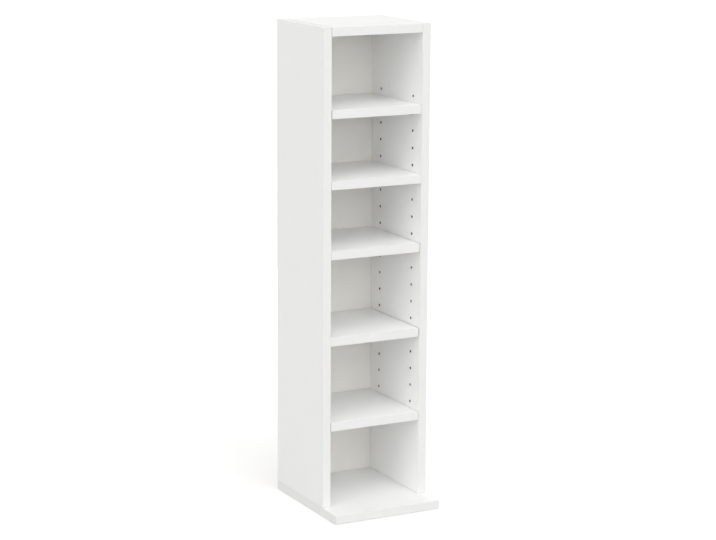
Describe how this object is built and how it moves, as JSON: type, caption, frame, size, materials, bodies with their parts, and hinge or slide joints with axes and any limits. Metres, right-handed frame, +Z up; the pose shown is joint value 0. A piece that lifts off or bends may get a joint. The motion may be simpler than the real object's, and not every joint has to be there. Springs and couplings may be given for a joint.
{
  "type": "shelving unit",
  "caption": "Narrow open-fronted shelving tower in white melamine board, with loose shelves on pins in drilled side panels, a fixed shelf, a hardboard back and a projecting base board.",
  "frame": {"origin": "on the floor, under the middle of the unit's outline", "axes": "+Z up, the open front faces -Y, +X to the right of someone who faces the unit"},
  "size_m": [0.216, 0.25, 0.9],
  "materials": {
    "melamine_board": "16 mm chipboard faced and edged with smooth satin white melamine",
    "hardboard": "3 mm hardboard, lacquered white on its front and raw brown behind",
    "nickel_plated_steel": "bright nickel plating",
    "zinc_casting": "die-cast zinc, dull grey",
    "zinc_plated_steel": "bright zinc plating",
    "beech": "bare fluted beech",
    "glide_plastic": "moulded white polyethylene"
  },
  "bodies": {
    "carcass": {"base_board": "melamine_board", "left_side_panel": "melamine_board", "right_side_panel": "melamine_board", "top_panel": "melamine_board", "fixed_shelf": "melamine_board", "back_panel": "hardboard", "shelf_1_pin_left_front": "nickel_plated_steel", "shelf_1_pin_left_back": "nickel_plated_steel", "shelf_1_pin_right_front": "nickel_plated_steel", "shelf_1_pin_right_back": "nickel_plated_steel", "shelf_2_pin_left_front": "nickel_plated_steel", "shelf_2_pin_left_back": "nickel_plated_steel", "shelf_2_pin_right_front": "nickel_plated_steel", "shelf_2_pin_right_back": "nickel_plated_steel", "shelf_3_pin_left_front": "nickel_plated_steel", "shelf_3_pin_left_back": "nickel_plated_steel", "shelf_3_pin_right_front": "nickel_plated_steel", "shelf_3_pin_right_back": "nickel_plated_steel", "shelf_4_pin_left_front": "nickel_plated_steel", "shelf_4_pin_left_back": "nickel_plated_steel", "shelf_4_pin_right_front": "nickel_plated_steel", "shelf_4_pin_right_back": "nickel_plated_steel", "top_panel_cam_left_front": "zinc_casting", "top_panel_cam_left_back": "zinc_casting", "top_panel_cam_right_front": "zinc_casting", "top_panel_cam_right_back": "zinc_casting", "fixed_shelf_cam_left_front": "zinc_casting", "fixed_shelf_cam_right_front": "zinc_casting", "top_panel_bolt_left_front": "zinc_plated_steel", "top_panel_bolt_left_back": "zinc_plated_steel", "top_panel_bolt_right_front": "zinc_plated_steel", "top_panel_bolt_right_back": "zinc_plated_steel", "fixed_shelf_bolt_left_front": "zinc_plated_steel", "fixed_shelf_bolt_right_front": "zinc_plated_steel", "base_screw_left_front": "zinc_plated_steel", "base_screw_left_back": "zinc_plated_steel", "base_screw_right_front": "zinc_plated_steel", "base_screw_right_back": "zinc_plated_steel", "back_nail_left_lower": "zinc_plated_steel", "back_nail_left_middle": "zinc_plated_steel", "back_nail_left_upper": "zinc_plated_steel", "back_nail_right_lower": "zinc_plated_steel", "back_nail_right_middle": "zinc_plated_steel", "back_nail_right_upper": "zinc_plated_steel", "back_nail_top_left": "zinc_plated_steel", "back_nail_top_right": "zinc_plated_steel", "back_nail_base_left": "zinc_plated_steel", "back_nail_base_right": "zinc_plated_steel", "top_panel_dowel_left": "beech", "top_panel_dowel_right": "beech", "fixed_shelf_dowel_left": "beech", "fixed_shelf_dowel_right": "beech", "glide_left_front": "glide_plastic", "glide_left_back": "glide_plastic", "glide_right_front": "glide_plastic", "glide_right_back": "glide_plastic"},
    "shelf_1": {"loose_shelf_1": "melamine_board"},
    "shelf_2": {"loose_shelf_2": "melamine_board"},
    "shelf_3": {"loose_shelf_3": "melamine_board"},
    "shelf_4": {"loose_shelf_4": "melamine_board"}
  },
  "joints": [
    {"name": "shelf_1_pull", "type": "slide", "parent": "carcass", "child": "shelf_1", "axis": [0, -1, 0], "range_m": [0, 0.192]},
    {"name": "shelf_2_pull", "type": "slide", "parent": "carcass", "child": "shelf_2", "axis": [0, -1, 0], "range_m": [0, 0.192]},
    {"name": "shelf_3_pull", "type": "slide", "parent": "carcass", "child": "shelf_3", "axis": [0, -1, 0], "range_m": [0, 0.192]},
    {"name": "shelf_4_pull", "type": "slide", "parent": "carcass", "child": "shelf_4", "axis": [0, -1, 0], "range_m": [0, 0.192]}
  ]
}
